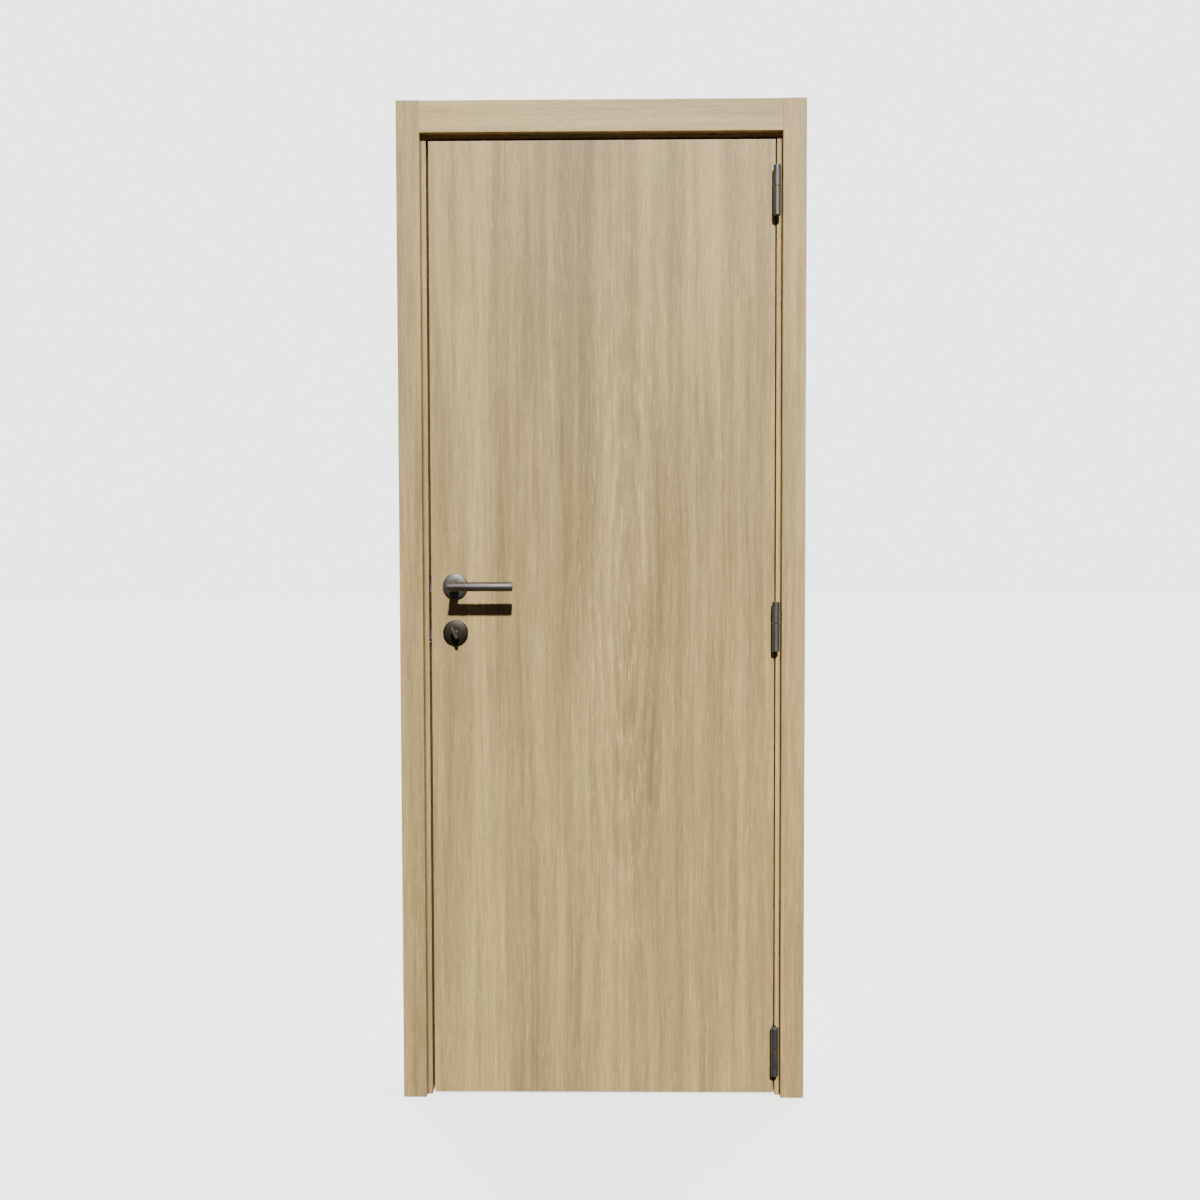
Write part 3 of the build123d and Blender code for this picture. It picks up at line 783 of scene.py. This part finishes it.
for side in ("front", "back"):
    lever = make_lever(side + "_lever_bar", -1 if side == "front" else 1)
    move_mesh(lever, facing_out(side, HANDLE_Z))
    dress(lever, "lever_set", finishes["lever_steel"], 35, (side + "_lever",))
    grub = make_grub_screw(side + "_grub_screw")
    y = LEAF_FRONT - GRUB_OUT if side == "front" else LEAF_BACK + GRUB_OUT
    seat = Vector((SPINDLE_X, y, HANDLE_Z - LEVER_RADIUS + GRUB_SET_BACK))
    move_mesh(grub, Matrix.Translation(seat) @ Matrix.Rotation(math.radians(180), 4, "X"))
    dress(grub, "lever_set", screw_finish, 30)


# Thumb turn: a round collar and a blade with rounded ends and soft edges
def upright(a, b):
    """Whether an edge goes up between its two ends."""
    return abs(a.z - b.z) > 0.001


def make_turn(name):
    collar = add_cylinder(name, COLLAR_RADIUS, NECK_OFF_LEAF, COLLAR_TOP, COLLAR_SIDES)
    pick_edges(collar, lambda a, b: min(a.z, b.z) > COLLAR_TOP - NEAR)
    bpy.ops.mesh.bevel(offset=COLLAR_EDGE, segments=3, affect="EDGES")
    close_edit()
    foot = (-BLADE_HALF_THICKNESS, -BLADE_HALF_LENGTH, BLADE_FOOT)
    blade = add_block("blade", foot, (BLADE_HALF_THICKNESS, BLADE_HALF_LENGTH, BLADE_TOP))
    pick_edges(blade, upright)
    bpy.ops.mesh.bevel(offset=BLADE_ROUND, segments=10, affect="EDGES")
    close_edit()
    pick_edges(blade, lambda a, b: min(a.z, b.z) > BLADE_TOP - NEAR)
    bpy.ops.mesh.bevel(offset=BLADE_EDGE, segments=4, affect="EDGES")
    close_edit()
    weld(blade)
    blade.rotation_euler = (0, 0, TURN_TILT)
    place_mesh(blade)
    take(collar)
    blade.select_set(True)
    bpy.ops.object.join()
    return collar


turn = make_turn("thumb_turn_blade")
move_mesh(turn, facing_out("front", TURN_Z))
dress(turn, "turn_set", turn_finish, 35, ("thumb_turn",))


# Emergency release: a low disc with a coin slot
def make_release(name):
    disc = add_cylinder(name, RELEASE_RADIUS, NECK_OFF_LEAF, ROSE_THICKNESS, RELEASE_SIDES)
    pick_edges(disc, lambda a, b: min(a.z, b.z) > ROSE_THICKNESS - NEAR)
    bpy.ops.mesh.bevel(offset=RELEASE_EDGE, segments=3, affect="EDGES")
    close_edit()
    foot = (-SLOT_HALF_WIDTH, -SLOT_HALF_LENGTH, ROSE_THICKNESS - SLOT_DEPTH)
    top = (SLOT_HALF_WIDTH, SLOT_HALF_LENGTH, SLOT_CUTTER_TOP)
    cutter = add_block("cutter", foot, top)
    pick_edges(cutter, upright)
    bpy.ops.mesh.bevel(offset=SLOT_ROUND, segments=6, affect="EDGES")
    close_edit()
    cutter.rotation_euler = (0, 0, -TURN_TILT)
    place_mesh(cutter)
    cut_away(disc, cutter)
    weld(disc)
    return disc


release = make_release("release_disc_slotted")
move_mesh(release, facing_out("back", TURN_Z))
dress(release, "turn_set", rose_finish, 35, ("release_disc",))


# Countersunk screws with a cross recess, modelled once
def make_screw(name):
    screw = add_cylinder(name, SCREW_RADIUS, SCREW_FOOT, SCREW_TOP, SCREW_SIDES)
    pick_edges(screw, lambda a, b: min(a.z, b.z) > SCREW_TOP - NEAR)
    bpy.ops.mesh.bevel(offset=SCREW_EDGE, segments=3, affect="EDGES")
    close_edit()
    for turned in (0, 90):
        foot = (-CROSS_HALF_LENGTH, -CROSS_HALF_WIDTH, CROSS_FOOT)
        cutter = add_block("cutter", foot, (CROSS_HALF_LENGTH, CROSS_HALF_WIDTH, PAST))
        cutter.rotation_euler = (0, 0, math.radians(turned))
        place_mesh(cutter)
        cut_away(screw, cutter)
    weld(screw)
    return screw


first_screw = make_screw("first_screw")
OUT_OF_LINING = Matrix.Rotation(math.radians(-90), 4, "Y")
OUT_OF_LEAF = Matrix.Rotation(math.radians(90), 4, "Y")
LINING_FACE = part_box("hinge_stop")[1].x


def set_screw(name, body, place, turn, spin):
    """A screw in its place, its cross turned a little from its neighbour's."""
    matrix = Matrix.Translation(place) @ turn @ Matrix.Rotation(math.radians(spin), 4, "Z")
    screw = copy_of(first_screw, name, matrix)
    dress(screw, body, screw_finish, 30)


for at, place in enumerate(("top", "middle", "bottom")):
    low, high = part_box(place + "_frame_hinge")
    centre = (low.z + high.z) / 2
    for number, (height, inward) in enumerate(FLAP_SCREWS):
        y = LEAF_FRONT + inward
        z = centre + height
        spin = 17 + 31 * number + 13 * at
        seat = (LINING_FACE, y, z)
        set_screw(f"{place}_frame_screw_{number}", "frame", seat, OUT_OF_LINING, spin)
        seat = (LEAF_HINGE_EDGE, y, z)
        set_screw(f"{place}_leaf_screw_{number}", "leaf", seat, OUT_OF_LEAF, spin + 40)

plate_low, plate_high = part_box("lock_faceplate")
strike_low, strike_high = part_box("strike_plate")
for number in range(2):
    z = (plate_low.z + FACEPLATE_SCREW_INSET, plate_high.z - FACEPLATE_SCREW_INSET)[number]
    seat = (LEAF_LATCH_EDGE, LEAF_MIDDLE, z)
    set_screw(f"faceplate_screw_{number}", "leaf", seat, OUT_OF_LINING, 25 + 40 * number)
    z = (strike_low.z + STRIKE_SCREW_INSET, strike_high.z - STRIKE_SCREW_INSET)[number]
    seat = (strike_high.x, LEAF_MIDDLE, z)
    set_screw(f"strike_screw_{number}", "frame", seat, OUT_OF_LEAF, 50 + 35 * number)
bpy.data.objects.remove(first_screw)

# Stage: a plain pale floor, which gives a glow of its own and lights nothing
FLOOR_GLOW = 1.9
bpy.ops.object.select_all(action="DESELECT")
bpy.ops.mesh.primitive_plane_add(size=60, location=(-0.38, 0, 0))
floor = bpy.context.object
floor.name = "floor"
floor_finish, floor_shader = new_finish("pale_floor")[:2]
floor_shader.inputs["Base Color"].default_value = (0.80, 0.80, 0.795, 1)
floor_shader.inputs["Emission Color"].default_value = (1, 1, 1, 1)
floor_shader.inputs["Emission Strength"].default_value = FLOOR_GLOW
floor_shader.inputs["Roughness"].default_value = 0.9
floor_shader.inputs["Specular IOR Level"].default_value = 0.1
floor.data.materials.append(floor_finish)
floor.visible_diffuse = False
floor.visible_glossy = False
floor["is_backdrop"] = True

# Light: a lamp high in front, two soft ones behind, and a surrounding that is brighter behind and
# that the camera sees as a pale ground
DIM_AROUND = 0.045
BRIGHT_BEHIND = 0.55
SEEN_BY_CAMERA = 3.2
LAMP_DISTANCE = 6
world = bpy.data.worlds.new("surrounding")
bpy.context.scene.world = world
world.use_nodes = True
sky = Wire(world.node_tree)
background = world.node_tree.nodes["Background"]
background.inputs["Color"].default_value = (1, 1, 1, 1)
seen = sky.node("LightPath")
direction = axes_of(sky, sky.node("TexCoord", output=0))
behind = ramp(direction[1], -0.1, 0.5, 0.0, BRIGHT_BEHIND)
brightness = DIM_AROUND + behind + seen * (SEEN_BY_CAMERA - behind)
world.node_tree.links.new(brightness.output, background.inputs["Strength"])


def soft_light(name, azimuth, elevation, width, strength):
    """Light from a direction and over a width given in degrees, azimuth 0 being the front."""
    around = math.radians(azimuth)
    above = math.radians(elevation)
    back = Vector(
        (math.sin(around) * math.cos(above), -math.cos(around) * math.cos(above), math.sin(above))
    )
    data = bpy.data.lights.new(name, "SUN")
    data.angle = math.radians(width)
    data.energy = strength
    lamp = bpy.data.objects.new(name, data)
    lamp.location = back * LAMP_DISTANCE
    lamp.rotation_euler = back.to_track_quat("Z", "Y").to_euler()
    bpy.context.collection.objects.link(lamp)


soft_light("key_light", 6.2, 41.6, 2.5, 5.6)
soft_light("hinge_side_light", 138, 30, 25, 2.2)
soft_light("latch_side_light", -140, 35, 25, 1.7)

# Camera: the photograph's place, direction and angle of view
SENSOR = 36
LENS = 34.12
CAMERA_PLACE = (-0.3612, -2.4, 1.122)
PAN, TILT, ROLL = (math.radians(angle) for angle in (0.651, -2.029, 0.144))
camera_data = bpy.data.cameras.new("camera")
camera_data.sensor_width = SENSOR
camera_data.lens = LENS
camera = bpy.data.objects.new("camera", camera_data)
camera.matrix_world = (
    Matrix.Translation(CAMERA_PLACE)
    @ Matrix.Rotation(PAN, 4, "Z")
    @ Matrix.Rotation(math.pi / 2 + TILT, 4, "X")
    @ Matrix.Rotation(-ROLL, 4, "Z")
)
bpy.context.collection.objects.link(camera)
bpy.context.scene.camera = camera

low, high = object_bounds()
